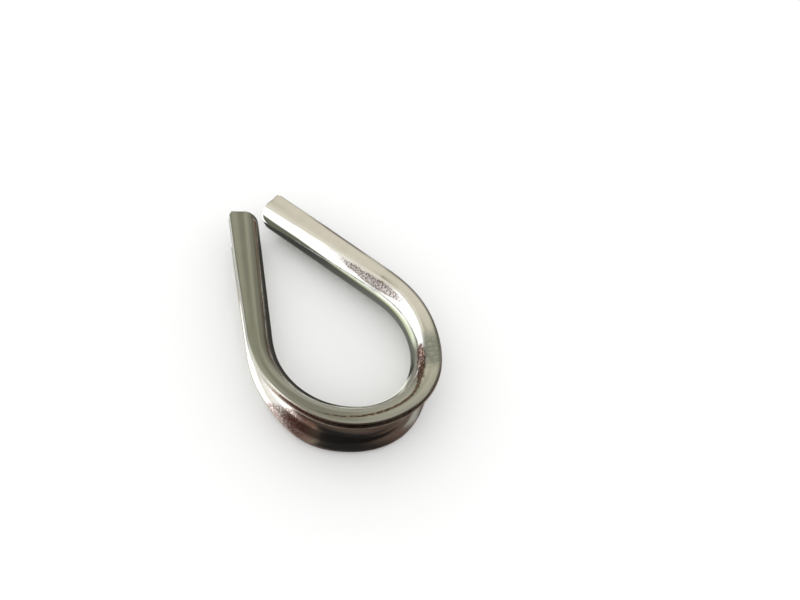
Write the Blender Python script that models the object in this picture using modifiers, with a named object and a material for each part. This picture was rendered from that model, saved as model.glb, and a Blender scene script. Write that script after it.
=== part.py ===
"""Wire rope thimble for 3 mm rope, light commercial pattern.

One strip of stainless sheet, rolled into an open channel and bent into a
teardrop.  The closed side of the channel faces the eye and carries the pin or
hook; the open side faces out and holds the rope.  The channel is widest at the
crown, where the bend spreads its lips, and narrowest at the two cut leg ends.

Frame: metres, +Z up, the thimble lying as it rests on a table, on the crown's
lower lip and the lower corners of both legs.  +X runs from the leg ends to the
crown, +Y across the eye.  The origin is the bottom centre of the bounding box.

The channel is first built level, its mid plane at z = 0, then tipped to rest.
Its bearing line is the bottom of the channel in that plane.  Each section is
drawn as (outward, up), with outward pointing away from the eye.
"""

import math
from collections import namedtuple

import bmesh
import bpy
from mathutils import Matrix, Vector

MM = 0.001
UP = Vector((0, 0, 1))

# --- bearing line, millimetres and degrees ---------------------------------
CROWN_RADIUS = 7.0       # mean radius
CROWN_PINCH = -0.256     # change of radius at the apex, as a share of the mean
LEG_HALF_ANGLE = 20.95   # between each leg and the centre line
SHOULDER_KINK = 7.7      # last bit of bend, where crown meets leg
SHOULDER_LENGTH = 1.75
LEG_LENGTH = 16.1        # before the end is cut

# --- channel section, millimetres ------------------------------------------
WIDTH_CROWN = 6.27       # over the lips
WIDTH_SHOULDER = 4.57
WIDTH_TIP = 3.78
DEPTH_CROWN = 2.54       # bearing line to lip edge
DEPTH_SHOULDER = 2.50
DEPTH_TIP = 2.95
ROOT_DEPTH = 1.89        # how far the rolled root reaches before the flat lip
FLARE_CROWN = 0.50       # slope of the lips away from the mid plane
FLARE_LEG = 0.25
SHEET_THICKNESS = 0.63

# --- shear cut across each leg end -----------------------------------------
CUT_SETBACK_OUTWARD = 0.20   # set back along the leg per unit outward
CUT_SETBACK_DOWN = 0.60      # and per unit down from the top
CUTTER_SIZE = (5.6, 10.0, 4.0)   # mm: outward, vertical, beyond the cut
CUTTER_SHIFT = 1.9           # mm outward, to keep clear of the other leg

# --- resolution ------------------------------------------------------------
CROWN_STEPS = 20         # per half
SHOULDER_STEPS = 3
LEG_STEPS = 4
ROOT_STEPS = 6           # per quarter of the rolled root
SHARP_ANGLE = 35         # degrees; steeper edges are shaded sharp

# A place on the bearing line, in mm.  Heading is the angle of the outward
# direction from +X.  Bend runs 0 to 1 from apex to shoulder, and leg runs
# 0 to 1 from shoulder to leg end.
Station = namedtuple("Station", "x y heading bend leg")


def clear_scene():
    for obj in list(bpy.data.objects):
        bpy.data.objects.remove(obj, do_unlink=True)


def new_collection(name):
    collection = bpy.data.collections.new(name)
    bpy.context.scene.collection.children.link(collection)
    return collection


# --- bearing line ----------------------------------------------------------
def crown_point(angle):
    """The curve whose radius of curvature is
    CROWN_RADIUS * (1 + CROWN_PINCH * cos(2 angle)), in closed form."""
    pinch = CROWN_PINCH
    x = math.cos(angle) * (1.0 - pinch) + 2.0 / 3.0 * pinch * math.cos(angle) ** 3
    y = math.sin(angle) * (1.0 + pinch) - 2.0 / 3.0 * pinch * math.sin(angle) ** 3
    return CROWN_RADIUS * x, CROWN_RADIUS * y


def advance(station, heading, distance):
    """The point reached from a station, going straight towards the leg end."""
    return (station.x - math.sin(heading) * distance,
            station.y + math.cos(heading) * distance)


def half_stations():
    """Stations from the crown apex to the leg end on the +Y side."""
    kink = math.radians(SHOULDER_KINK)
    crown_turn = math.pi / 2 + math.radians(LEG_HALF_ANGLE) - kink
    stations = []
    for i in range(CROWN_STEPS + 1):
        angle = crown_turn * i / CROWN_STEPS
        stations.append(Station(*crown_point(angle), angle, i / CROWN_STEPS, 0.0))

    kink_step = kink / SHOULDER_STEPS
    for _ in range(SHOULDER_STEPS):
        last = stations[-1]
        x, y = advance(last, last.heading + kink_step / 2, SHOULDER_LENGTH / SHOULDER_STEPS)
        stations.append(Station(x, y, last.heading + kink_step, 1.0, 0.0))

    shoulder = stations[-1]
    for i in range(1, LEG_STEPS + 1):
        x, y = advance(shoulder, shoulder.heading, LEG_LENGTH * i / LEG_STEPS)
        stations.append(Station(x, y, shoulder.heading, 1.0, i / LEG_STEPS))
    return stations


def leg_end_frame(side):
    """The bearing line's uncut end on one leg (side 1 is +Y, -1 is -Y), in
    metres, with the leg's direction and its outward direction."""
    end = half_stations()[-1]
    sine, cosine = math.sin(end.heading), math.cos(end.heading)
    point = Vector((end.x * MM, side * end.y * MM, 0.0))
    along = Vector((-sine, side * cosine, 0.0))
    outward = Vector((cosine, side * sine, 0.0))
    return point, along, outward


# --- channel ---------------------------------------------------------------
def blend(crown, shoulder, tip, crown_share, leg):
    return shoulder + (crown - shoulder) * crown_share + (tip - shoulder) * leg


def section(bend, leg):
    """Skin that faces the eye, from the upper lip edge round the rolled root
    to the lower lip edge, as (outward, up)."""
    crown_share = 0.5 * (1.0 + math.cos(math.pi * bend))
    width = blend(WIDTH_CROWN, WIDTH_SHOULDER, WIDTH_TIP, crown_share, leg)
    depth = blend(DEPTH_CROWN, DEPTH_SHOULDER, DEPTH_TIP, crown_share, leg)
    flare = blend(FLARE_CROWN, FLARE_LEG, FLARE_LEG, crown_share, leg)
    root_half = width / 2 - flare * (depth - ROOT_DEPTH)
    upper = [(depth, width / 2)]
    for i in range(ROOT_STEPS + 1):
        angle = math.pi / 2 * i / ROOT_STEPS
        upper.append((ROOT_DEPTH * (1.0 - math.sin(angle)), root_half * math.cos(angle)))
    return upper + [(out, -up) for out, up in reversed(upper[:-1])]


def section_row(bm, station, side):
    """Vertices of the section at one station."""
    out_x, out_y = math.cos(station.heading), math.sin(station.heading)
    return [bm.verts.new(((station.x + out_x * out) * MM,
                          side * (station.y + out_y * out) * MM,
                          up * MM))
            for out, up in section(station.bend, station.leg)]


def channel_surface():
    """The sheet's skin on the eye side, as an open surface."""
    half = half_stations()
    path = [(station, 1) for station in reversed(half)]
    path += [(station, -1) for station in half[1:]]
    bm = bmesh.new()
    rows = [section_row(bm, station, side) for station, side in path]
    for row, following in zip(rows, rows[1:]):
        for i in range(len(row) - 1):
            bm.faces.new((row[i], row[i + 1], following[i + 1], following[i]))
    bmesh.ops.recalc_face_normals(bm, faces=bm.faces)

    # normals must point at the eye, so the sheet thickens into the groove
    apex = Vector((crown_point(0.0)[0] * MM, 0, 0))
    apex_face = min(bm.faces, key=lambda face: (face.calc_center_median() - apex).length)
    if apex_face.normal.x > 0:
        bmesh.ops.reverse_faces(bm, faces=bm.faces)
    mesh = bpy.data.meshes.new("thimble")
    bm.to_mesh(mesh)
    bm.free()
    return mesh


def polished_stainless():
    mat = bpy.data.materials.new("polished_stainless")
    mat.use_nodes = True
    shader = next(n for n in mat.node_tree.nodes if n.type == "BSDF_PRINCIPLED")
    settings = {
        "Base Color": (0.58, 0.56, 0.52, 1.0),
        "Metallic": 1.0,
        "Roughness": 0.16,
    }
    for name, value in settings.items():
        shader.inputs[name].default_value = value
    return mat


def thimble_object(collection):
    """The channel, given its sheet thickness."""
    thimble = bpy.data.objects.new("thimble", channel_surface())
    collection.objects.link(thimble)
    thimble.data.materials.append(polished_stainless())

    sheet = thimble.modifiers.new("sheet", "SOLIDIFY")
    sheet.thickness = SHEET_THICKNESS * MM
    sheet.offset = -1.0
    sheet.use_even_offset = True
    sheet.use_rim = True
    return thimble


# --- leg ends --------------------------------------------------------------
def end_cutter(name, side, collection):
    """A block whose face is the shear cut across one leg."""
    leg_end, along, outward = leg_end_frame(side)
    top = leg_end + Vector((0, 0, WIDTH_TIP / 2 * MM))

    # local z is the cut's normal, local x lies in the cut and points outward
    z_axis = (along + CUT_SETBACK_OUTWARD * outward - CUT_SETBACK_DOWN * UP).normalized()
    x_axis = (outward - outward.dot(z_axis) * z_axis).normalized()
    y_axis = z_axis.cross(x_axis)
    rotation = Matrix((x_axis, y_axis, z_axis)).transposed().to_4x4()
    size = [length * MM for length in CUTTER_SIZE]
    centre = top + x_axis * (CUTTER_SHIFT * MM) + z_axis * (size[2] / 2)

    bpy.ops.mesh.primitive_cube_add(size=1.0)
    cutter = bpy.context.object
    cutter.name = name
    for owner in list(cutter.users_collection):
        owner.objects.unlink(cutter)
    collection.objects.link(cutter)
    cutter.data.transform(Matrix.Translation(centre) @ rotation @ Matrix.Diagonal((*size, 1.0)))
    cutter.hide_render = True
    cutter.display_type = "WIRE"
    return cutter


def cut_end(thimble, name, side, collection):
    cut = thimble.modifiers.new(name, "BOOLEAN")
    cut.operation = "DIFFERENCE"
    cut.solver = "EXACT"
    cut.object = end_cutter(name, side, collection)


# --- resting position ------------------------------------------------------
def resting_pitch():
    """The angle the thimble tips towards its legs when it is laid down,
    because the crown is wider than the leg ends."""
    crown_x = crown_point(0.0)[0] + DEPTH_CROWN
    leg_end, along, outward = leg_end_frame(1)
    # the lower corner of the lip, where the cut has moved it back
    corner_shift = -CUT_SETBACK_OUTWARD * DEPTH_TIP - CUT_SETBACK_DOWN * WIDTH_TIP
    corner = leg_end / MM + along * corner_shift + outward * DEPTH_TIP
    leg = 1.0 + corner_shift / LEG_LENGTH
    corner_half_width = (WIDTH_SHOULDER + (WIDTH_TIP - WIDTH_SHOULDER) * leg) / 2
    return math.atan2(WIDTH_CROWN / 2 - corner_half_width, crown_x - corner.x)


def resting_placement(thimble):
    """The transform that lays the thimble down over the bottom centre."""
    bpy.context.view_layer.update()
    tip = Matrix.Rotation(-resting_pitch(), 4, "Y")
    body = thimble.evaluated_get(bpy.context.evaluated_depsgraph_get()).to_mesh()
    points = [tip @ vertex.co for vertex in body.vertices]
    low = [min(p[axis] for p in points) for axis in range(3)]
    high = [max(p[axis] for p in points) for axis in range(3)]
    shift = (-(low[0] + high[0]) / 2, -(low[1] + high[1]) / 2, -low[2])
    return Matrix.Translation(shift) @ tip


def main():
    clear_scene()
    parts = new_collection("wire_rope_thimble")
    cutters = new_collection("cutters")

    thimble = thimble_object(parts)
    for name, side in (("end_cut_a", 1), ("end_cut_b", -1)):
        cut_end(thimble, name, side, cutters)

    placement = resting_placement(thimble)
    thimble.matrix_world = placement
    for cutter in cutters.objects:
        cutter.matrix_world = placement @ cutter.matrix_world

    thimble.data.shade_smooth()
    thimble.data.set_sharp_from_angle(angle=math.radians(SHARP_ANGLE))


main()
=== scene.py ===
"""Wire rope thimble: one stainless strip, rolled to a channel and bent into a teardrop eye.

It rests on a table in the XY plane.  The crown is towards +X and the two legs close
towards -X, one on the +Y side and one on the -Y side.  The groove faces outward.
The sheet is built in millimetres and moved into the CAD body's box, in metres.
"""

import math

import bmesh
import bpy
import numpy as np
from mathutils import Matrix, Vector


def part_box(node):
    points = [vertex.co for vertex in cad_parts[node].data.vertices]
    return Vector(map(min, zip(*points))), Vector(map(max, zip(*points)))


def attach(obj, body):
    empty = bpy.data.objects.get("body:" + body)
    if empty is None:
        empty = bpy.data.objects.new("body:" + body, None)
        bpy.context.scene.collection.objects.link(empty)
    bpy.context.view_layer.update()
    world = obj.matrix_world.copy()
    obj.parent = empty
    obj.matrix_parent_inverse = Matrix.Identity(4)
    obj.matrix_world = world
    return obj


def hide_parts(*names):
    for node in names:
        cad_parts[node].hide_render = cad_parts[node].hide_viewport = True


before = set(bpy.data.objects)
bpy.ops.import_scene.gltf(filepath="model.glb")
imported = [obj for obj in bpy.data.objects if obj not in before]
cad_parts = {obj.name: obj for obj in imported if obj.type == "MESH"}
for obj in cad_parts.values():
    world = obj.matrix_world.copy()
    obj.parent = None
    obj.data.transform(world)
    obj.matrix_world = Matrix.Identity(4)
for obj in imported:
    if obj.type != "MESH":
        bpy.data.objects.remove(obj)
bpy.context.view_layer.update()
BOX_LOW, BOX_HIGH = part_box("thimble")

MM = 0.001
DEGREES = 180 / math.pi

# --- centre line of the strip, millimetres and radians ---
CROWN_R = 7.0
CROWN_PINCH = -0.256
LEG_HALF_ANGLE = math.radians(20.95)
SHOULDER_KINK = math.radians(7.7)
SHOULDER_LEN = 1.75
LEG_LEN = 16.1
PITCH = math.radians(2.47)      # the crown end is tilted up

# --- channel section: the sizes run from crown to shoulder to leg tip ---
WIDTH_CROWN, WIDTH_SHOULDER, WIDTH_TIP = 6.27, 4.57, 3.78
DEPTH_CROWN, DEPTH_SHOULDER, DEPTH_TIP = 2.54, 2.50, 2.95
FLARE_CROWN, FLARE_LEG = 0.50, 0.25
ROOT_DEPTH = 1.89               # depth of the rounded root
FLARE_SOFT = 0.14               # how gently the flare starts
UPPER_SHIFT_FROM = 0.9          # depths where the uneven lips start to stand out
LOWER_SHIFT_FROM = 0.3
UPPER_LIP_DROP = 0.16           # fall of the upper lip per unit it stands out

# --- sheet and its sheared edges ---
SHEET = 0.63
EDGE_CORNER = 0.075             # how far the skins stop short of the edge
EDGE_ROLL = 0.16                # thickness taken by the rolled-over corner
TORN_DIP = 0.020
TORN_START, TORN_FADE = 0.38, 0.12
BURR = 0.030                    # rim the shears leave on the groove side
BURR_BAND = 0.11
# depth below the groove skin, share of the burr's height, offset
BURR_PROFILE = ((0.095, 0.45, -0.012), (0.060, 0.95, -0.003), (0.028, 1.0, -0.004),
                (0.006, 0.45, -0.010), (0.0, 0.0, -0.030))
EDGE_MARK = 0.3                 # edges are marked this far beyond the lip in "strip"

# --- cut ends of the legs ---
CUT_LEAN_OUT, CUT_LEAN_UP = -0.20, 0.60
END_CORNER_R = 0.34
END_WANDER = 0.012
END_ROUND_R = 0.085
END_ROUND_ANGLES = (0.0, 0.42, 0.85, 1.25, math.pi / 2)

# --- resolution ---
CROWN_N, SHOULDER_N, LEG_N = 150, 16, 70
FLAT_N, ROOT_N = 6, 26
ROLL_N, EDGE_N = 4, 8
CAP_N = 6
END_BANDS = 3                   # bands at each end that take the sheared material
SKIN_COUNT = 2 * (FLAT_N + ROOT_N) + 1
EDGE_COUNT = ROLL_N + EDGE_N - 1 + len(BURR_PROFILE)
RING_COUNT = 2 * (SKIN_COUNT + EDGE_COUNT)


# ---------------------------------------------------------------- sheet ----
def crown_point(phi):
    """Point on the crown's pinched arc; phi is 0 at the apex."""
    pinch = CROWN_PINCH
    return (CROWN_R * (math.cos(phi) * (1 - pinch) + 2 / 3 * pinch * math.cos(phi) ** 3),
            CROWN_R * (math.sin(phi) * (1 + pinch) - 2 / 3 * pinch * math.sin(phi) ** 3))


def half_line():
    """Crown apex to leg end: x, y, heading, bend share, leg share, arc length."""
    turn = math.pi / 2 + LEG_HALF_ANGLE - SHOULDER_KINK
    stations = []
    arc = 0.0
    for i in range(CROWN_N + 1):
        phi = turn * i / CROWN_N
        x, y = crown_point(phi)
        if stations:
            arc += math.hypot(x - stations[-1][0], y - stations[-1][1])
        stations.append([x, y, phi, i / CROWN_N, 0.0, arc])
    step = SHOULDER_LEN / SHOULDER_N
    kink = SHOULDER_KINK / SHOULDER_N
    for _ in range(SHOULDER_N):
        x, y, heading, _bend, _leg, arc = stations[-1]
        middle = heading + kink / 2
        stations.append([x - math.sin(middle) * step, y + math.cos(middle) * step,
                         heading + kink, 1.0, 0.0, arc + step])
    x, y, heading, _bend, _leg, arc = stations[-1]
    for i in range(1, LEG_N + 1):
        run = LEG_LEN * i / LEG_N
        stations.append([x - math.sin(heading) * run, y + math.cos(heading) * run,
                         heading, 1.0, i / LEG_N, arc + run])
    return np.array(stations)


def section_size(bend, leg):
    """Width, depth and flare of the channel."""
    crown = 0.5 * (1 + np.cos(np.pi * bend))

    def size(at_crown, at_shoulder, at_tip):
        return at_shoulder + (at_crown - at_shoulder) * crown + (at_tip - at_shoulder) * leg

    return (size(WIDTH_CROWN, WIDTH_SHOULDER, WIDTH_TIP),
            size(DEPTH_CROWN, DEPTH_SHOULDER, DEPTH_TIP),
            size(FLARE_CROWN, FLARE_LEG, FLARE_LEG))


def lip_shift(place):
    """How far the upper and lower lips stand out from the even depth, at a
    signed place along the strip: the strip ran a little crooked."""
    def hump(height, centre, reach, power=2):
        return height * math.exp(-abs((place - centre) / reach) ** power)

    legs = max(0.0, min(1.0, (24.0 - abs(place)) / 11.0))    # fades out along the legs
    leg_drop = 0.155 - 0.02 * math.tanh(place / 4)
    upper = hump(height=0.41, centre=-0.4, reach=5.7, power=4) - leg_drop * legs
    lower = (hump(height=0.43, centre=-5.8, reach=2.9)
             + hump(height=-0.53, centre=3.9, reach=2.7)
             + hump(height=-0.06, centre=11, reach=4)
             + hump(height=-0.06, centre=-11, reach=4))
    return upper, lower


def skin(bend, leg, trim, place):
    """Eye-side skin from the upper lip to the lower, as (outward, up) points,
    and its normals towards the groove."""
    width, depth, flare = section_size(bend, leg)
    root_half = width / 2 - flare * (depth - ROOT_DEPTH)
    lip = depth - trim

    def flare_rise(outward):
        return flare * FLARE_SOFT * np.log1p(np.exp((outward - ROOT_DEPTH) / FLARE_SOFT))

    excess = flare_rise(depth) - flare * (depth - ROOT_DEPTH)
    angle = np.linspace(0, np.pi / 2, ROOT_N + 1)
    flat = lip + (ROOT_DEPTH - lip) * (np.arange(FLAT_N) / FLAT_N)
    out = np.concatenate([flat, ROOT_DEPTH * (1 - np.sin(angle))])
    up = np.concatenate([np.full(FLAT_N, root_half), root_half * np.cos(angle)])
    fade = np.concatenate([np.ones(FLAT_N), np.cos(angle) ** 0.5])
    up = up + (flare_rise(out) - excess) * fade

    upper, lower = lip_shift(place)
    upper_share = np.clip((out - UPPER_SHIFT_FROM) / (depth - UPPER_SHIFT_FROM), 0.0, 1.0)
    lower_share = np.clip((out - LOWER_SHIFT_FROM) / (depth - LOWER_SHIFT_FROM), 0.0, 1.0)
    upper_up = up - UPPER_LIP_DROP * max(0.0, upper) * upper_share
    points = np.stack([
        np.concatenate([out + upper * upper_share, (out + lower * lower_share)[-2::-1]]),
        np.concatenate([upper_up, -up[-2::-1]])], 1)
    tangents = np.gradient(points, axis=0)
    tangents /= np.linalg.norm(tangents, axis=1)[:, None]
    return points, np.stack([-tangents[:, 1], tangents[:, 0]], 1)


def edge_profile(inset):
    """Across one sheared edge, eye side to groove side, as (depth, rise):
    rolled-over corner, smooth band, slightly torn band, then a small burr."""
    low, high = inset, SHEET - inset
    rows = []
    for i in range(1, ROLL_N + 1):
        angle = math.pi / 2 * i / ROLL_N
        rows.append((low + EDGE_ROLL * (1 - math.cos(angle)),
                     -EDGE_CORNER * (1 - math.sin(angle))))
    for i in range(1, EDGE_N):
        share = i / EDGE_N
        dip = -TORN_DIP * max(0.0, min(1.0, (share - TORN_START) / TORN_FADE))
        rows.append((low + EDGE_ROLL + (high - low - EDGE_ROLL - BURR_BAND) * share, dip))
    burr = BURR if inset == 0.0 else 0.0
    rows += [(high - below, share * burr + offset) for below, share, offset in BURR_PROFILE]
    return np.array(rows)


def section(bend, leg, inset, place):
    """Closed outline of the sheet: eye skin, lower edge, groove skin, upper edge.
    Returns (outward, up) points, millimetres across and 0..1 through the sheet."""
    points, normals = skin(bend, leg, inset, place)
    lengths = np.linalg.norm(np.diff(points, axis=0), axis=1)
    across = np.concatenate([[0], np.cumsum(lengths)])
    across = across - across[SKIN_COUNT // 2]
    above = points[0] - points[1]
    above /= np.linalg.norm(above)
    below = points[-1] - points[-2]
    below /= np.linalg.norm(below)
    depth, rise = edge_profile(inset).T

    def skin_at(level):
        moved = points + normals * level
        moved[0] -= above * EDGE_CORNER
        moved[-1] -= below * EDGE_CORNER
        return moved

    def edge_at(i, beyond):
        return points[i] + normals[i] * depth[:, None] + beyond * rise[:, None]

    outline = np.concatenate([skin_at(inset), edge_at(-1, below),
                              skin_at(SHEET - inset)[::-1], edge_at(0, above)[::-1]])
    through = np.concatenate([np.zeros(SKIN_COUNT), depth / SHEET,
                              np.ones(SKIN_COUNT), depth[::-1] / SHEET])
    across = np.concatenate([across, np.full(EDGE_COUNT, across[-1] + EDGE_MARK),
                             across[::-1], np.full(EDGE_COUNT, across[0] - EDGE_MARK)])
    return outline, across, through


def end_shift(out, up, across, bend, leg, side):
    """Shift along a leg that makes its cut end lean, wander and round its
    corners, and the heights narrowed to match."""
    from_lip = np.abs(across).max() - EDGE_MARK - np.abs(across)
    near = np.clip(END_CORNER_R - np.maximum(from_lip, 0.0), 0.0, END_CORNER_R)
    corner = END_CORNER_R - np.sqrt(np.maximum(END_CORNER_R ** 2 - near ** 2, 0.0))
    wander = END_WANDER * (np.sin(5.3 * across + 1.1 * side)
                           + 0.6 * np.sin(11.7 * across + 2.0))
    z = up
    for _ in range(3):      # length and height depend on each other
        length = (LEG_LEN + CUT_LEAN_OUT * out + CUT_LEAN_UP * (z - WIDTH_TIP / 2)
                  - corner + wander)
        share = leg * length / LEG_LEN
        z = up * (section_size(bend, share)[0] / section_size(bend, leg)[0])
    return leg * length - leg * LEG_LEN, z


def ring(station, side, inset=0.0, push=0.0):
    """One outline in place.  Columns: x, y, z, along, across, through, to lip."""
    x, y, heading, bend, leg, arc = station
    outline, across, through = section(bend, leg, inset, side * arc)
    out, z = outline.T
    shift = np.zeros(len(out))
    if leg > 0:
        shift, z = end_shift(out, z, across, bend, leg, side)
        shift = shift + push
    lips = np.where(across < 0, -across.min(), across.max()) - EDGE_MARK
    return np.column_stack([
        x + math.cos(heading) * out - math.sin(heading) * shift,
        side * (y + math.sin(heading) * out + math.cos(heading) * shift),
        z,
        side * arc + side * shift,
        across,
        through,
        np.maximum(lips - np.abs(across), 0.0)])


def all_rings():
    """Rings from the +Y leg's end round the crown to the -Y leg's end."""
    half = half_line()
    rounding = [(END_ROUND_R * (1 - math.sin(a)), -END_ROUND_R * (1 - math.cos(a)))
                for a in END_ROUND_ANGLES]
    rings = [ring(half[-1], 1, inset, push) for inset, push in rounding]
    rings += [ring(station, 1) for station in half[-2:0:-1]]
    rings += [ring(station, -1) for station in half[:-1]]
    rings += [ring(half[-1], -1, inset, push) for inset, push in reversed(rounding)]
    return rings


def wall_faces(ring_total):
    """Quads between rings, and their material: 1 on sheared edges and cut ends."""
    on_edge = np.arange(RING_COUNT) % (SKIN_COUNT + EDGE_COUNT) >= SKIN_COUNT
    faces, slots = [], []
    for i in range(ring_total - 1):
        a, b = i * RING_COUNT, (i + 1) * RING_COUNT
        at_end = min(i, ring_total - 2 - i) < END_BANDS
        for j in range(RING_COUNT):
            k = (j + 1) % RING_COUNT
            faces.append((a + j, a + k, b + k, b + j))
            slots.append(int(on_edge[j] or on_edge[k] or at_end))
    return faces, slots


def cap_faces(points, first, new_index, flip):
    """Cut end over the ring starting at `first`: rows from the eye skin to the
    groove skin, and one face at each lip.  Returns faces and added points."""
    rows, added, faces = [], [], []
    for j in range(SKIN_COUNT):
        eye = first + j
        groove = first + 2 * SKIN_COUNT + EDGE_COUNT - 1 - j
        row = [eye]
        for i in range(1, CAP_N):
            share = i / CAP_N
            row.append(new_index + len(added))
            added.append(points[eye] * (1 - share) + points[groove] * share)
        rows.append(row + [groove])
    for row, after in zip(rows, rows[1:]):
        for i in range(CAP_N):
            faces.append((row[i], row[i + 1], after[i + 1], after[i]))
    lower = [first + SKIN_COUNT + i for i in range(EDGE_COUNT)]
    upper = [first + 2 * SKIN_COUNT + EDGE_COUNT + i for i in range(EDGE_COUNT)]
    faces.append(tuple(rows[-1] + lower[::-1]))
    faces.append(tuple(rows[0][::-1] + upper[::-1]))
    if flip:
        faces = [face[::-1] for face in faces]
    return faces, added


def make_sheet(tilt):
    """The thimble object, and the move that set it in the CAD body's box."""
    rings = all_rings()
    points = np.concatenate(rings)
    faces, slots = wall_faces(len(rings))
    added = []
    for first, flip in ((0, False), (len(points) - RING_COUNT, True)):
        caps, more = cap_faces(points, first, len(points) + len(added), flip)
        faces += caps
        slots += [1] * len(caps)
        added += more
    points = np.concatenate([points, np.array(added)])

    verts = points[:, :3] @ tilt.T * MM
    low, high = verts.min(0), verts.max(0)
    box_low, box_high = np.array(BOX_LOW), np.array(BOX_HIGH)
    move = (box_low + box_high) / 2 - (low + high) / 2
    move[2] = box_low[2] - low[2]
    verts = verts + move

    mesh = bpy.data.meshes.new("thimble_sheet")
    mesh.from_pydata([tuple(p) for p in verts], [], faces)
    mesh.update()
    strip = mesh.attributes.new("strip", "FLOAT_VECTOR", "POINT")
    strip.data.foreach_set("vector", points[:, 3:6].astype(np.float32).ravel())
    to_lip = mesh.attributes.new("to_lip", "FLOAT", "POINT")
    to_lip.data.foreach_set("value", points[:, 6].astype(np.float32))
    mesh.polygons.foreach_set("material_index", np.array(slots, np.int32))
    mesh.shade_smooth()
    obj = bpy.data.objects.new("thimble_sheet", mesh)
    bpy.context.scene.collection.objects.link(obj)
    bm = bmesh.new()
    bm.from_mesh(mesh)
    bmesh.ops.recalc_face_normals(bm, faces=bm.faces)
    bm.to_mesh(mesh)
    bm.free()
    return obj, move


# ----------------------------------------------------------- node fields ----
class Field:
    """A node output to reckon with: each operation adds a node to its tree."""

    def __init__(self, tree, socket):
        self.tree = tree
        self.socket = socket

    def math(self, operation, *others):
        return math_node(self.tree, operation, self, *others)

    def __add__(self, other):
        return self.math("ADD", other)

    def __radd__(self, other):
        return math_node(self.tree, "ADD", other, self)

    def __sub__(self, other):
        return self.math("SUBTRACT", other)

    def __rsub__(self, other):
        return math_node(self.tree, "SUBTRACT", other, self)

    def __mul__(self, other):
        return self.math("MULTIPLY", other)

    def map(self, over, to, kind="LINEAR"):
        """Carry the range `over` to the range `to`."""
        ends = {"From Min": over[0], "From Max": over[1], "To Min": to[0], "To Max": to[1]}
        return node(self.tree, "ShaderNodeMapRange", {"Value": self, **ends},
                    output="Result", interpolation_type=kind)

    def step(self, off, on):
        """Smooth, 0 at `off` and 1 at `on`, either way round."""
        if off < on:
            return self.map((off, on), (0.0, 1.0), "SMOOTHSTEP")
        return self.map((on, off), (1.0, 0.0), "SMOOTHSTEP")

    def band(self, rise, fall):
        """Smooth, up from 0 to 1 over `rise` and back down over `fall`."""
        return self.step(*rise) * self.step(off=fall[1], on=fall[0])


def fill(tree, target, inputs):
    for key, value in inputs.items():
        socket = target.inputs[key]
        if isinstance(value, Field):
            tree.links.new(value.socket, socket)
        elif isinstance(value, (int, float)):
            socket.default_value = value
        else:
            socket.default_value = (*value, 1.0)


def node(tree, kind, inputs={}, output=0, **props):
    made = tree.nodes.new(kind)
    for name, value in props.items():
        setattr(made, name, value)
    fill(tree, made, inputs)
    return Field(tree, made.outputs[output])


def math_node(tree, operation, *values):
    return node(tree, "ShaderNodeMath", dict(enumerate(values)), operation=operation)


def mix(amount, below, above, kind="RGBA"):
    a, b, output = {"RGBA": (6, 7, 2), "FLOAT": (2, 3, 0)}[kind]
    return node(amount.tree, "ShaderNodeMix", {0: amount, a: below, b: above},
                output=output, data_type=kind)


def paint(base, *coats, kind="RGBA"):
    """Lay coats, each (amount, colour or value), one over another."""
    for amount, coat in coats:
        base = mix(amount, base, coat, kind)
    return base


def noise(vector, scale, detail=2.0, rough=0.5):
    return node(vector.tree, "ShaderNodeTexNoise", output="Fac", inputs={
        "Vector": vector, "Scale": scale, "Detail": detail, "Roughness": rough})


def combine(x, y, z):
    return node(x.tree, "ShaderNodeCombineXYZ", {0: x, 1: y, 2: z})


def split(vector):
    parts = vector.tree.nodes.new("ShaderNodeSeparateXYZ")
    fill(vector.tree, parts, {0: vector})
    return [Field(vector.tree, output) for output in parts.outputs]


def bumps(*layers):
    """Chain of bumps, each (height, distance in metres, strength)."""
    below = {}
    for height, distance, strength in layers:
        normal = node(height.tree, "ShaderNodeBump", output="Normal", inputs={
            "Height": height, "Distance": distance, "Strength": strength, **below})
        below = {"Normal": normal}
    return normal


def glossy_ray(tree):
    return node(tree, "ShaderNodeLightPath", output="Is Glossy Ray")


def mix_shaders(share, first, second):
    return node(share.tree, "ShaderNodeMixShader", {0: share, 1: first, 2: second})


def emission(tree, **inputs):
    return node(tree, "ShaderNodeEmission", inputs)


def finish_tree(shader, kind="ShaderNodeOutputMaterial"):
    fill(shader.tree, shader.tree.nodes.new(kind), {"Surface": shader})


def position_and_incoming(tree):
    """x, y, z of the shaded point and of the direction back along the ray."""
    geometry = tree.nodes.new("ShaderNodeNewGeometry")
    return [split(Field(tree, geometry.outputs[name])) for name in ("Position", "Incoming")]


def new_material(name):
    mat = bpy.data.materials.new(name)
    mat.use_nodes = True
    return mat


STEEL = (0.66, 0.64, 0.60)


def seen(red, green, blue, gain=1.0):
    """Surroundings that bare steel shows as this display colour, 0 to 255."""
    linear = []
    for c in (red / 255.0, green / 255.0, blue / 255.0):
        linear.append(c / 12.92 if c <= 0.04045 else ((c + 0.055) / 1.055) ** 2.4)
    return [gain * c / s for c, s in zip(linear, STEEL)]


# -------------------------------------------------------- metal materials ----
# On the strip: `along` is in mm from the crown's apex, positive on the +Y side;
# `across` is in mm, negative above; `through` is 0 on the eye skin, 1 in the groove.
def strip_fields(tree):
    return split(node(tree, "ShaderNodeAttribute", output="Vector", attribute_name="strip"))


def corner_shade(along):
    """Painted shade along the outer upper corner: a dark line, mostly on the +Y side,
    fainter at the bend's end and towards the tip."""
    fainter = along.band(rise=(13.8, 15.8), fall=(16.8, 18.6)) * 0.55
    return along.step(off=2.5, on=8.5) * along.step(off=27.0, on=22.5) * (1.0 - fainter)


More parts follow.
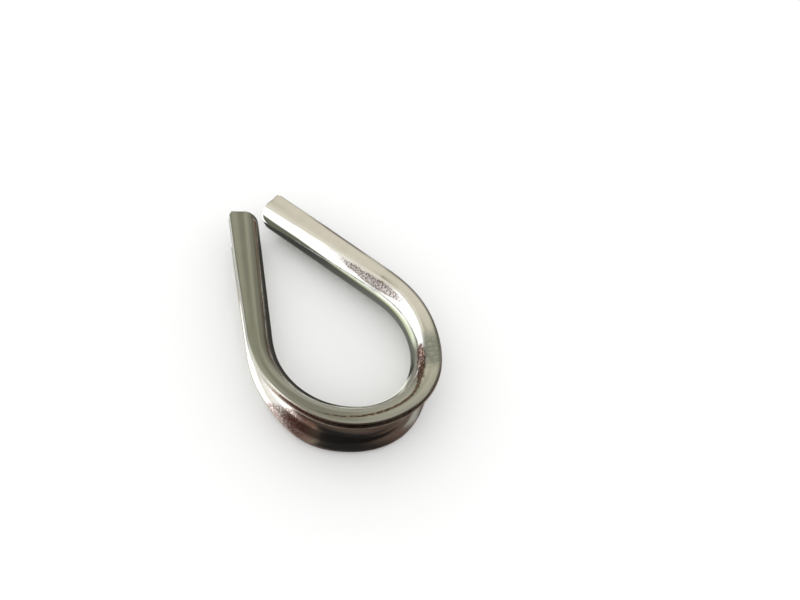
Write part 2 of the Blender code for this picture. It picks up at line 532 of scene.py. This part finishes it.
def eye_patch(along, across, wobble, eye):
    """Stretched patch on the inner roll of the +Y shoulder."""
    low = (along.map(over=(15.2, 21.0), to=(-1.04, -1.62))
           - along.step(off=14.8, on=11.0) * 0.66)
    high = along.map(over=(14.0, 20.0), to=(-2.18, -1.92))
    wavy = across + wobble * 0.3
    sides = (wavy - high).step(off=-0.09, on=0.12) * (wavy - low).step(off=0.10, on=-0.14)
    ends = (along + wobble).band(rise=(10.8, 12.8), fall=(18.2, 21.0))
    return ends * sides * eye


def groove_patch(along, across, wobble, groove):
    """Stretched skin low on the groove side of the -Y shoulder."""
    ends = (along + wobble).band(rise=(-10.2, -9.5), fall=(-7.4, -5.2))
    return groove * (ends * (across + (along + 9.0) * 0.75).step(off=2.75, on=3.25))


def rubbed_area(along, across, through, wobble, eye):
    """Dull area on the crown towards +Y."""
    smear = noise(combine(along * 2.0, across * 0.8, through), scale=1.6, detail=4.0, rough=0.7)
    ends = (along + (smear - 0.5) * 2.2).band(rise=(3.9, 5.2), fall=(6.7, 8.1))
    sides = (across + wobble).band(rise=(-5.0, -4.3), fall=(-2.6, -1.9))
    return ends * sides * eye * smear.step(off=0.16, on=0.56)


def crease_stain(along, across, through, eye):
    """Brown forming mark: a thin line in the crown's crease that opens into a
    ragged stain.  Returns its mask and colour."""
    line = along.map(over=(0.6, 6.2), to=(-3.62, -2.05), kind="SMOOTHSTEP")
    width = (along.band(rise=(-8.5, -1.0), fall=(5.9, 7.0))
             * along.map(over=(1.5, 4.8), to=(0.11, 0.42), kind="SMOOTHSTEP"))
    tatter = noise(combine(along * 1.3, across * 2.2, through),
                   scale=2.3, detail=5.0, rough=0.75)
    ragged = (tatter - 0.5) * 1.5
    off_line = (across - line + ragged * along.map(over=(0.0, 4.0), to=(0.12, 0.9)))
    distance = off_line.math("ABSOLUTE")
    mask = eye * (distance - width).step(off=0.07, on=-0.05) * width.step(off=0.01, on=0.07)
    blotch = noise(combine(along * 1.0, across * 2.6, through),
                   scale=3.4, detail=3.0, rough=0.62)
    colour = paint((0.022, 0.014, 0.014),                                   # near black
                   (blotch.step(off=0.47, on=0.53), (0.19, 0.060, 0.052)),  # red brown
                   (blotch.step(off=0.56, on=0.61), (0.55, 0.43, 0.27)))    # tan
    return mask, colour


def leg_gleam(tree, along, across):
    """What the -Y leg's inner wall shows in second reflections: bright above,
    dark towards the foot of its tip."""
    lit_to = along.map(over=(-25.5, -20.0), to=(-1.25, 0.65))
    return emission(tree, Color=mix((across - lit_to).step(off=0.4, on=-0.4),
                                    seen(100, 102, 88), seen(250, 251, 244, gain=1.2)))


def steel():
    """Rolled and polished stainless: satin grain along the strip, orange peel,
    stretched patches, a rubbed area and a brown stain."""
    mat = new_material("polished_stainless")
    tree = mat.node_tree
    principled = tree.nodes["Principled BSDF"]
    along, across, through = strip_fields(tree)
    to_lip = node(tree, "ShaderNodeAttribute", output="Fac", attribute_name="to_lip")
    groove = through.step(off=0.45, on=0.55)
    eye = 1.0 - groove
    here = combine(along, across, through * 2.0)

    # the grain, from broad to fine
    drawn = noise(combine(along * 0.22, across * 7.0, through),
                  scale=1.0, detail=4.0, rough=0.62)
    hair = noise(combine(along * 0.9, across * 30.0, through), scale=1.0, detail=3.0, rough=0.6)
    peel = noise(here, scale=4.6, detail=3.0, rough=0.6)
    pores = noise(here, scale=15.0, detail=2.0, rough=0.6)
    cloud = noise(here, scale=0.55, detail=3.0, rough=0.55)
    coarse = noise(combine(along * 0.75, across, through), scale=5.6, detail=1.5, rough=0.55)
    beads = noise(combine(along * 0.9, across, through), scale=6.8, detail=2.5, rough=0.66)

    wobble = (noise(here, scale=1.1) - 0.5) * 0.9
    patch = eye_patch(along, across, wobble, eye)
    patch_out = groove_patch(along, across, wobble, groove)
    rub = rubbed_area(along, across, through, wobble, eye)
    stain, stain_colour = crease_stain(along, across, through, eye)
    valley = beads.step(off=0.59, on=0.45)
    # painted shade: a dark line along the upper lip of the eye skin, mostly on the +Y side
    corner = to_lip.step(off=0.34, on=0.09) * (eye * across.step(off=-1.0, on=-2.0))
    corner = corner * corner_shade(along) * hair.map(over=(0.3, 0.7), to=(0.7, 1.0))

    darker = [c * 0.965 for c in STEEL]
    paler = [min(1, c * 1.035) for c in STEEL]
    colour = paint(
        darker,
        (cloud.map(over=(0.3, 0.7), to=(0.0, 1.0)), paler),
        (drawn.step(off=0.58, on=0.72) * 0.16, (0.44, 0.42, 0.37)),    # grain lines
        (pores.step(off=0.60, on=0.74) * 0.16, (0.36, 0.33, 0.29)),    # dirt in the pores
        (rub * 0.85, (0.27, 0.29, 0.26)),
        (stain * 0.92, stain_colour),
        (patch * 0.55, (0.31, 0.255, 0.22)),
        (corner * 0.93, (0.066, 0.060, 0.050)),                        # painted shade on the rolled upper corner
        (patch * valley * 0.86, (0.085, 0.060, 0.052)),                # purplish valleys
        (patch_out * valley * 0.85, (0.16, 0.10, 0.105)),
        (patch_out * 0.35, (0.42, 0.32, 0.29)))
    polish = (drawn.map(over=(0.3, 0.7), to=(0.075, 0.135))
              + pores.step(off=0.50, on=0.72) * 0.035 + groove * 0.030)
    fill(tree, principled, {
        "Base Color": colour,
        "Metallic": 1.0,
        "Roughness": paint(polish, (rub * 0.8, 0.34), (stain, 0.26), (patch, 0.20),
                           kind="FLOAT"),
        "Normal": bumps((drawn, 3.5e-6, 1.0), (hair, 5e-7, 1.0), (peel, 1.6e-6, 1.0),
                        (pores, 6e-7, 1.0), (coarse, 1.5e-5, patch * 0.9),
                        (beads, 1.3e-5, patch + patch_out * 0.7))})

    gleam = leg_gleam(tree, along, across)
    twice = glossy_ray(tree) * eye * along.step(off=-3.0, on=-6.5)
    shader = mix_shaders(twice, Field(tree, principled.outputs[0]), gleam)
    fill(tree, tree.nodes["Material Output"], {"Surface": shader})
    return mat


def sheared():
    """Raw sheared edge: striations across the thickness, a smooth cut band,
    a torn band and a bright burr on the groove side."""
    mat = new_material("sheared_edge")
    tree = mat.node_tree
    along, across, through = strip_fields(tree)
    lean = through * 0.25
    streak = noise(combine((along + lean) * 3.3, through * 0.5, across * 0.4),
                   scale=1.0, detail=5.0, rough=0.72)
    fine = noise(combine((along + lean) * 11.0, through * 0.9, across * 0.4),
                 scale=1.0, detail=3.0, rough=0.7)
    grit = noise(combine(along, across, through * 0.7), scale=16.0, detail=2.0, rough=0.6)

    def upper_edge():
        return across.step(off=0.5, on=-0.5)

    torn = (through + (streak - 0.5) * 0.25).step(off=0.44, on=0.56)
    rolled = (through + (fine - 0.5) * 0.10).step(off=0.32, on=0.22)
    clean = along.step(off=-8.0, on=-11.0)
    burr = (through.step(off=0.84, on=0.90) * through.step(off=0.999, on=0.975)
            * streak.map(over=(0.25, 0.7), to=(0.35, 0.9))
            * mix(across.step(off=-0.5, on=0.5), 1.0, 0.25, kind="FLOAT"))
    brown = along.band(rise=(-9.0, -6.5), fall=(-2.5, -0.5)) * upper_edge()
    dull = (along.step(off=-12.0, on=-14.5) * through.map(over=(0.1, 0.9), to=(0.80, 0.45))
            * along.map(over=(-26.0, -20.0), to=(0.7, 1.0)))
    # painted shade: the upper sheared edge on the +Y side, darkened with the painted corner
    # shade
    edge_shade = corner_shade(along).math("MAXIMUM", along.step(off=2.5, on=6.5) * 0.35) * upper_edge()
    edge_shade = edge_shade * fine.map(over=(0.3, 0.7), to=(0.75, 1.0))

    colour = paint(
        (0.26, 0.185, 0.15),                                           # between the streaks
        (streak.step(off=0.36, on=0.62), (0.50, 0.41, 0.35)),
        (fine.step(off=0.55, on=0.70) * 0.35, (0.60, 0.53, 0.44)),
        (torn * 0.35, (0.30, 0.235, 0.20)),
        (clean * 0.85, mix(torn, (0.27, 0.27, 0.215), (0.38, 0.38, 0.33))),
        (brown * 0.5, (0.13, 0.085, 0.065)),
        (rolled, mix(clean, (0.62, 0.60, 0.53), (0.27, 0.27, 0.21))),
        (brown * 0.55, (0.10, 0.070, 0.055)),
        (dull * upper_edge(), (0.075, 0.072, 0.046)),
        # painted shade on the +Y upper edge
        (edge_shade * 0.96, (0.066, 0.058, 0.050)),
        (burr, mix(clean, (0.70, 0.64, 0.52), (0.46, 0.45, 0.40))))
    fill(tree, tree.nodes["Principled BSDF"], {
        "Base Color": colour,
        "Metallic": burr.map(over=(0.0, 1.0), to=(1.0, 0.72)),
        "Roughness": mix(torn, fine.map(over=(0.3, 0.7), to=(0.24, 0.34)),
                         grit.map(over=(0.3, 0.7), to=(0.36, 0.52)), kind="FLOAT"),
        "Normal": bumps((streak, 2e-5, 1.0), (fine, 4.5e-6, 1.0),
                        (grit, 5e-6, 0.25 + torn * 0.75))})
    return mat


TILT = np.array(Matrix.Rotation(-PITCH, 3, "Y"))
thimble, MOVE = make_sheet(TILT)
thimble.data.materials.append(steel())
thimble.data.materials.append(sheared())
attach(thimble, "root")
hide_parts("thimble")

# ---------------------------------------------------------------- studio ----
CAM_AZ, CAM_EL, CAM_ROLL = math.radians(45.89), math.radians(54.57), math.radians(14.31)
COS_AZ, SIN_AZ = math.cos(CAM_AZ), math.sin(CAM_AZ)
TABLE_HALF = 0.6
TABLE_Z = BOX_LOW.z - 0.00002


def rightward(x, y):
    """Level distance to the camera's right."""
    return x * COS_AZ + y * SIN_AZ


def away(x, y):
    """Level distance away from the camera."""
    return y * COS_AZ - x * SIN_AZ


def azimuth(right, far):
    """Degrees off the camera's side: 0 towards it, negative to its left."""
    return right.math("ARCTAN2", far * -1.0) * DEGREES


def bearings(x, y, z):
    """Azimuth off the camera's side, azimuth off straight behind (negative to
    the left) and elevation, in degrees."""
    right, far = rightward(x, y), away(x, y)
    return (azimuth(right, far), right.math("ARCTAN2", far) * DEGREES,
            z.math("ARCSINE") * DEGREES)


def olive_wall(back, el):
    """Wall straight behind: greyer low down, dark at its right end."""
    high = paint(seen(128, 128, 109),
                 (el.step(off=44, on=36), seen(147, 146, 126)),
                 (back.step(off=-9, on=-27), seen(174, 170, 150)))
    return paint(
        seen(147, 146, 131),
        (el.step(off=20, on=40), high),
        (back.band(rise=(-20, -14), fall=(-6, 2)) * el.step(off=20, on=27),
         seen(121, 119, 103)),
        (back.step(off=3, on=22) * el.step(off=42, on=26), seen(114, 113, 97)),
        (back.step(off=8, on=24) * el.step(off=17, on=1), seen(74, 65, 55)),
        (back.band(rise=(-62, -52), fall=(-42, -30)) * el.step(off=34, on=22),
         seen(122, 112, 99)),
        (back.band(rise=(36, 52), fall=(90, 100)), seen(92, 76, 66)))


def room(x, y, z):
    """Reflected room above the table, painted from the walls to the lights."""
    az, back, el = bearings(x, y, z)
    window_top = (15.0 + az.step(off=-122, on=-76) * 40.0
                  - (az.step(off=-79, on=-70) * 8.0 + az.step(off=-62, on=-44) * 16.0))
    dark_side = az.band(rise=(-34, -12), fall=(64, 92)) * el.step(off=84, on=72)
    dark_top = az.band(rise=(-50, -14), fall=(80, 104)) * el.step(off=62, on=74)
    return paint(
        seen(84, 68, 57),
        # right of the camera, darker
        (az.band(rise=(96, 112), fall=(150, 158)), seen(58, 51, 45)),
        (back.math("ABSOLUTE").step(off=84, on=60), olive_wall(back, el)),
        # cream upper wall, left and behind
        (el.band(rise=(44, 55), fall=(64, 72)) * az.band(rise=(-176, -160), fall=(-60, -44)),
         seen(205, 198, 181)),
        (el.band(rise=(18, 30), fall=(60, 70)) * az.band(rise=(-122, -112), fall=(-60, -50)),
         seen(215, 210, 194)),
        # window on the left
        ((el - window_top).step(off=3.5, on=-3.5)
         * az.band(rise=(-133, -121), fall=(-45, -40)), seen(255, 255, 253, gain=1.4)),
        # dark camera side, with a slim brown reflection inside it
        (dark_side.math("MAXIMUM", dark_top),
         mix(el.step(off=54, on=26), seen(23, 22, 21), seen(74, 62, 53))),
        (az.band(rise=(36, 46), fall=(54, 64)) * el.band(rise=(2, 10), fall=(46, 58)) * 0.5,
         seen(66, 49, 41)),
        # brown ceiling, beam and one paler spot
        (el.step(off=62, on=71) * az.band(rise=(-120, -95), fall=(-40, -20)),
         seen(104, 82, 74)),
        (el.step(off=42, on=52) * az.band(rise=(-56, -46), fall=(-28, -15)),
         seen(126, 96, 83)),
        (el.step(off=69, on=74) * az.band(rise=(-48, -40), fall=(-30, -20)),
         seen(134, 127, 106)),
        # pale screen on the right, and a glow above it
        (az.band(rise=(82, 88), fall=(100, 106)) * el.step(off=26, on=18),
         seen(236, 238, 222)),
        (az.band(rise=(94, 103), fall=(124, 132)) * el.band(rise=(34, 40), fall=(52, 59)),
         seen(152, 150, 142)))


def make_world():
    """Plain white light; only glossy rays see the room."""
    world = bpy.data.worlds.new("studio")
    bpy.context.scene.world = world
    world.use_nodes = True
    tree = world.node_tree
    tree.nodes.clear()
    direction = split(node(tree, "ShaderNodeTexCoord", output="Generated"))
    plain = node(tree, "ShaderNodeBackground", {"Color": (1.0, 1.0, 1.0), "Strength": 1.08})
    mirror = node(tree, "ShaderNodeBackground", {"Color": room(*direction)})
    finish_tree(mix_shaders(glossy_ray(tree), plain, mirror), "ShaderNodeOutputWorld")


def table_outside(x, y):
    """Reflected table round the thimble, by azimuth about a point in the crown."""
    right, far = rightward(x, y), away(x, y)
    spot = azimuth(right - 4.0, far + 4.0)
    return paint(
        seen(84, 80, 72),
        (spot.band(rise=(100, 116), fall=(160, 175)), seen(150, 146, 138)),
        (spot.band(rise=(-10, 2), fall=(66, 96)), seen(21, 20, 19)),
        (spot.band(rise=(-46, -38), fall=(-16, -2)), seen(80, 54, 46)),
        (spot.band(rise=(-46, -38), fall=(-32, -22)), seen(112, 80, 68)),
        (spot.band(rise=(-140, -128), fall=(-50, -41)), seen(252, 252, 250, gain=1.35)))


def table_inside(x, az, back, el):
    """Reflected table inside the eye: dark at the foot of the walls, lit further off."""
    over = el - x.map(over=(-7.0, 3.0), to=(-13.0, -35.0))
    leftward = az.band(rise=(-118, -98), fall=(-50, -36))
    roomy = x.step(off=-6.5, on=-3.0)
    deep = mix(el.step(off=-26, on=-38), seen(134, 132, 120), seen(104, 104, 95))
    foot = paint(seen(54, 51, 47),
                 (x.step(off=-11.5, on=-15.5), seen(128, 126, 120)),
                 (x.step(off=4.5, on=9.0), seen(112, 110, 99)))
    # elevation above the bright field's lower rim, which climbs to the right
    rim = el - (-44.0 - (back + 33.0) * 0.70)
    climb = back.band(rise=(-50, -44), fall=(-13, -6))
    field = (rim.step(off=-2.0, on=2.0) * el.step(off=-33, on=-42)
             * back.band(rise=(-46, -37), fall=(-12, -6)))
    thin = (x.band(rise=(-9.0, -5.0), fall=(0.0, 3.0))
            * back.band(rise=(-16, -12), fall=(-8, -4))
            * el.band(rise=(-30, -25), fall=(-12, -6)))
    return paint(
        seen(60, 61, 58),
        (x.map(over=(-9.0, 3.6), to=(0.0, 1.0)), seen(109, 110, 103)),
        (az.step(off=-100, on=-122), deep),
        (el.step(off=-38, on=-48) * az.step(off=-100, on=-116), seen(102, 103, 95)),
        (back.step(off=-30, on=-6) * el.step(off=-12, on=-24), foot),
        # bright field over the crown's foot
        (climb * rim.step(off=0.5, on=-2.0), seen(58, 59, 52)),
        (rim.step(off=-6.5, on=-10.0) * back.band(rise=(-38, -30), fall=(-8, -2)),
         seen(158, 157, 146)),
        (field, mix(back.step(off=-42, on=-22), seen(164, 164, 152), seen(226, 226, 212))),
        (back.band(rise=(-32, -30), fall=(-28, -26)) * rim.step(off=-2.0, on=2.0),
         seen(206, 206, 190)),
        # a thinner one along the middle of the crown
        (thin, seen(232, 233, 214)),
        # lit part to the left, its fringe, and the pale right
        (over.step(off=-6.0, on=7.0) * leftward,
         mix(roomy, seen(150, 156, 124), seen(250, 251, 240, gain=1.2))),
        (over.band(rise=(-10.0, -3.0), fall=(2.0, 10.0)) * leftward * 0.65,
         mix(roomy, seen(120, 126, 96), seen(196, 208, 160))),
        (az.band(rise=(40, 70), fall=(112, 132)), seen(236, 238, 222)))


def within_eye(x, y):
    """Millimetres inside the teardrop: a circle at the crown, a wedge at the legs."""
    circle = 6.4 - ((x - 5.9).math("ABSOLUTE").math("POWER", 2.0)
                    + y.math("ABSOLUTE").math("POWER", 2.0)).math("SQRT")
    wedge = 6.3 + (x - 3.6) * 0.315 - y.math("ABSOLUTE")
    return mix(x.step(off=3.4, on=4.6), wedge, circle, kind="FLOAT")


def table_material():
    """Pale table.  In reflections it also carries the shadow inside the eye
    and the darkness of the camera side, which the open pale studio lacks."""
    mat = new_material("table_white")
    tree = mat.node_tree
    tree.nodes.clear()
    (x, y, _z), incoming = position_and_incoming(tree)
    az, back, el = bearings(*[part * -1.0 for part in incoming])
    x, y = x * 1000.0, y * 1000.0
    colour = mix(within_eye(x, y).step(off=-2.1, on=-1.3),
                 table_outside(x, y), table_inside(x, az, back, el))
    cloth = node(tree, "ShaderNodeBsdfDiffuse", {"Color": (0.965, 0.965, 0.96)})
    finish_tree(mix_shaders(glossy_ray(tree), cloth, emission(tree, Color=colour)))
    return mat


def flat_piece(name, corners):
    mesh = bpy.data.meshes.new(name)
    mesh.from_pydata(corners, [], [tuple(range(len(corners)))])
    piece = bpy.data.objects.new(name, mesh)
    bpy.context.scene.collection.objects.link(piece)
    return piece


def make_table():
    half = TABLE_HALF
    table = flat_piece("table", [(-half, -half, 0), (half, -half, 0),
                                 (half, half, 0), (-half, half, 0)])
    table.location.z = TABLE_Z
    table.data.materials.append(table_material())


CARD_RIGHT = -13.0      # the card's upright plane, mm to the camera's right
LOUVRE_RIGHT = -1.0     # plane where the card's louvres sort the rays
# (mm away from the camera, mm above the table)
CARD_OUTLINE = ((-22, 0.3), (3, 0.3), (3, 9), (-1, 17), (-5, 26), (-11, 35), (-18, 35),
                (-22, 25))


def card_material():
    """White glow, louvred: it only shows to what lies low in front of the crown."""
    mat = new_material("card_white")
    tree = mat.node_tree
    tree.nodes.clear()
    glow = emission(tree, Color=(1, 1, 1), Strength=1.9)
    (x, y, _z), (in_x, in_y, _in_z) = position_and_incoming(tree)
    slope = away(in_x, in_y).math("DIVIDE", rightward(in_x, in_y).math("MAXIMUM", 0.05))
    crossing = away(x, y) * 1000.0 + slope * (LOUVRE_RIGHT - CARD_RIGHT)
    clear = node(tree, "ShaderNodeBsdfTransparent")
    finish_tree(mix_shaders(crossing.step(off=-3.6, on=-5.2), clear, glow))
    return mat


def make_bounce_card():
    """Small white card close on the camera's left; only reflections see it."""
    card = flat_piece("bounce_card", [
        ((CARD_RIGHT * COS_AZ - far * SIN_AZ) * MM,
         (CARD_RIGHT * SIN_AZ + far * COS_AZ) * MM,
         TABLE_Z + height * MM) for far, height in CARD_OUTLINE])
    card.data.materials.append(card_material())
    for rays in ("camera", "diffuse", "shadow", "transmission", "volume_scatter"):
        setattr(card, "visible_" + rays, False)


make_world()
make_table()
make_bounce_card()
bpy.context.scene.view_settings.view_transform = "Standard"

# ---------------------------------------------------------------- camera ----
CAM_DIST = 77.728 * MM
CAM_LENS = 32.4             # mm, on a sensor 36 mm wide
AIM_FROM_APEX_X = -10.8591 * MM
AIM_Y = 9.324 * MM
AIM_FROM_APEX_Z = -3.1367 * MM


def make_camera():
    apex = Vector(TILT @ np.array([crown_point(0.0)[0], 0, 0]) * MM + MOVE)
    target = Vector((apex.x + AIM_FROM_APEX_X, AIM_Y, apex.z + AIM_FROM_APEX_Z))
    towards = Vector((SIN_AZ * math.cos(CAM_EL), -COS_AZ * math.cos(CAM_EL),
                      math.sin(CAM_EL)))
    data = bpy.data.cameras.new("camera")
    camera = bpy.data.objects.new("camera", data)
    bpy.context.scene.collection.objects.link(camera)
    data.sensor_width = 36
    data.lens = CAM_LENS
    data.clip_start = 0.001
    camera.location = target + towards * CAM_DIST
    look = (-towards).to_track_quat("-Z", "Y").to_matrix()
    camera.rotation_mode = "QUATERNION"
    camera.rotation_quaternion = (look @ Matrix.Rotation(CAM_ROLL, 3, "Z")).to_quaternion()
    bpy.context.scene.camera = camera


make_camera()
